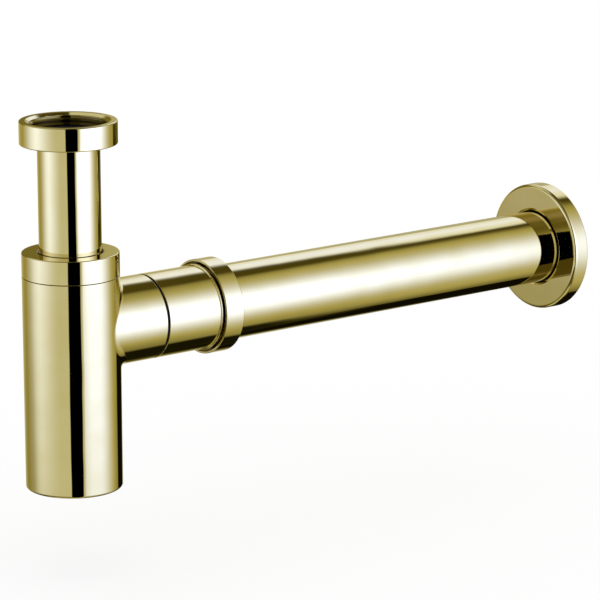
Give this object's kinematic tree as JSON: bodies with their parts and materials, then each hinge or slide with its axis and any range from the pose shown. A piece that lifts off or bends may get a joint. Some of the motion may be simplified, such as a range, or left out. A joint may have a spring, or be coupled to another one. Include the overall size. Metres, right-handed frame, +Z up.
{
  "type": "bottle trap",
  "caption": "Brass bottle trap for a wash basin: threaded inlet nut and tube over a round bottle, side outlet with a long tube and a round wall flange.",
  "frame": {"origin": "on the axis of the inlet, at the upper face of the gasket, where the basin waste seats", "axes": "+Z up along the inlet tube towards the basin, +X along the outlet tube towards the wall"},
  "size_m": [0.357, 0.0706, 0.1915],
  "materials": {
    "brass": "polished",
    "rubber": "matt",
    "nylon": "satin",
    "fibre": "matt"
  },
  "bodies": {
    "inlet_nut": {"inlet_nut": "brass"},
    "inlet_pipe": {"inlet_tube": "brass", "inlet_gasket": "rubber"},
    "cap_seals": {"cap_slip_ring": "nylon", "cap_seal": "rubber"},
    "bottle": {"bottle": "brass", "adaptor_washer": "fibre", "outlet_adaptor": "brass", "outlet_slip_ring": "nylon", "outlet_seal": "rubber"},
    "cap_nut": {"cap_nut": "brass"},
    "outlet_nut": {"outlet_nut": "brass"},
    "outlet_pipe": {"outlet_tube": "brass"},
    "wall_flange": {"wall_flange": "brass", "flange_o_ring": "rubber"}
  },
  "joints": [
    {"name": "inlet_swivel", "type": "hinge", "parent": "inlet_nut", "child": "inlet_pipe", "pos_m": [0, 0, 0], "axis": [0, 0, 1], "continuous": true},
    {"name": "height_slide", "type": "slide", "parent": "inlet_pipe", "child": "cap_seals", "axis": [0, 0, 1], "range_m": [-0.045, 0.008]},
    {"name": "bottle_swivel", "type": "hinge", "parent": "cap_seals", "child": "bottle", "pos_m": [0, 0, -0.102], "axis": [0, 0, 1], "continuous": true},
    {"name": "cap_nut_turn", "type": "hinge", "parent": "bottle", "child": "cap_nut", "pos_m": [0, 0, -0.0673], "axis": [0, 0, 1], "range_deg": [0, 360]},
    {"name": "outlet_nut_turn", "type": "hinge", "parent": "bottle", "child": "outlet_nut", "pos_m": [0.08575, 0, -0.102], "axis": [1, 0, 0], "range_deg": [0, 360]},
    {"name": "outlet_slide", "type": "slide", "parent": "bottle", "child": "outlet_pipe", "axis": [1, 0, 0], "range_m": [-0.0015, 0.025]},
    {"name": "flange_slide", "type": "slide", "parent": "outlet_pipe", "child": "wall_flange", "axis": [1, 0, 0], "range_m": [-0.21, 0.008]}
  ]
}
